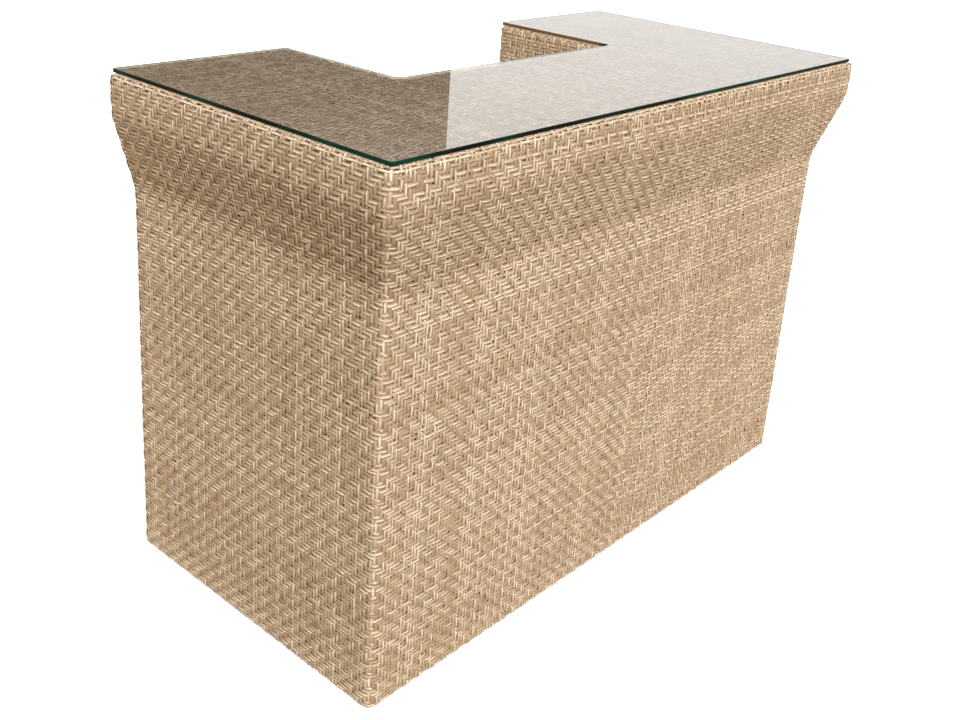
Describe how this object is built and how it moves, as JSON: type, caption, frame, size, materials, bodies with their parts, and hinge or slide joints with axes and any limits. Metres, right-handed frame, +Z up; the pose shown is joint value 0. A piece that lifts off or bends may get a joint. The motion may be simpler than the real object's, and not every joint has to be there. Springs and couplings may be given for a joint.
{
  "type": "wicker outdoor bar",
  "caption": "U-shaped outdoor bar: a woven counter with a flared head and short wings, open shelves on the bartender's side, levelling feet and a lift-off glass top.",
  "frame": {"origin": "on the floor, under the middle of the bar's box", "axes": "+X along the counter to the guests' right, +Y from the guests' side to the bartender's side, +Z up"},
  "size_m": [1.57, 0.78, 1.07],
  "materials": {
    "wicker": "satin",
    "glass": "polished",
    "bumper": "matte",
    "frame": "satin",
    "foot": "matte",
    "bush": "matte"
  },
  "bodies": {
    "bar": {"back_bottom_rails": "frame", "back_top_rails": "frame", "bay_back": "wicker", "bay_sides": "wicker", "counter_apron": "wicker", "counter_bottom_rail": "frame", "counter_top_rail": "frame", "deck_bars": "frame", "foot_bushes": "bush", "front_bottom_rail": "frame", "front_gussets": "frame", "front_nosing": "frame", "front_shoulder_rail": "frame", "front_skin": "wicker", "front_studs": "frame", "front_top_rail": "frame", "glass_bumpers": "bumper", "inner_bottom_rails": "frame", "inner_top_rails": "frame", "left_back_inner_post": "frame", "left_back_outer_post": "frame", "left_back_skin": "wicker", "left_bay_post": "frame", "left_bottom_rail": "frame", "left_end_skin": "wicker", "left_front_post": "frame", "left_gussets": "frame", "left_inner_skin": "wicker", "left_nosing": "frame", "left_shoulder_rail": "frame", "left_top_rail": "frame", "lower_shelf": "wicker", "lower_shelf_frame": "frame", "right_back_inner_post": "frame", "right_back_outer_post": "frame", "right_back_skin": "wicker", "right_bay_post": "frame", "right_bottom_rail": "frame", "right_end_skin": "wicker", "right_front_post": "frame", "right_gussets": "frame", "right_inner_skin": "wicker", "right_nosing": "frame", "right_shoulder_rail": "frame", "right_top_rail": "frame", "shelf_cleats": "frame", "shelf_ledgers": "frame", "top_deck": "wicker", "upper_shelf": "wicker", "upper_shelf_frame": "frame"},
    "glass": {"glass_top": "glass"},
    "left_front_foot": {"left_front_foot": "foot"},
    "left_back_outer_foot": {"left_back_outer_foot": "foot"},
    "left_back_inner_foot": {"left_back_inner_foot": "foot"},
    "left_bay_foot": {"left_bay_foot": "foot"},
    "right_front_foot": {"right_front_foot": "foot"},
    "right_back_outer_foot": {"right_back_outer_foot": "foot"},
    "right_back_inner_foot": {"right_back_inner_foot": "foot"},
    "right_bay_foot": {"right_bay_foot": "foot"}
  },
  "joints": [
    {"name": "glass_lift", "type": "slide", "parent": "bar", "child": "glass", "axis": [0, 0, 1], "range_m": [0, 0.15]},
    {"name": "left_front_foot_screw", "type": "slide", "parent": "bar", "child": "left_front_foot", "axis": [0, 0, -1], "range_m": [0, 0.012]},
    {"name": "left_back_outer_foot_screw", "type": "slide", "parent": "bar", "child": "left_back_outer_foot", "axis": [0, 0, -1], "range_m": [0, 0.012]},
    {"name": "left_back_inner_foot_screw", "type": "slide", "parent": "bar", "child": "left_back_inner_foot", "axis": [0, 0, -1], "range_m": [0, 0.012]},
    {"name": "left_bay_foot_screw", "type": "slide", "parent": "bar", "child": "left_bay_foot", "axis": [0, 0, -1], "range_m": [0, 0.012]},
    {"name": "right_front_foot_screw", "type": "slide", "parent": "bar", "child": "right_front_foot", "axis": [0, 0, -1], "range_m": [0, 0.012]},
    {"name": "right_back_outer_foot_screw", "type": "slide", "parent": "bar", "child": "right_back_outer_foot", "axis": [0, 0, -1], "range_m": [0, 0.012]},
    {"name": "right_back_inner_foot_screw", "type": "slide", "parent": "bar", "child": "right_back_inner_foot", "axis": [0, 0, -1], "range_m": [0, 0.012]},
    {"name": "right_bay_foot_screw", "type": "slide", "parent": "bar", "child": "right_bay_foot", "axis": [0, 0, -1], "range_m": [0, 0.012]}
  ]
}
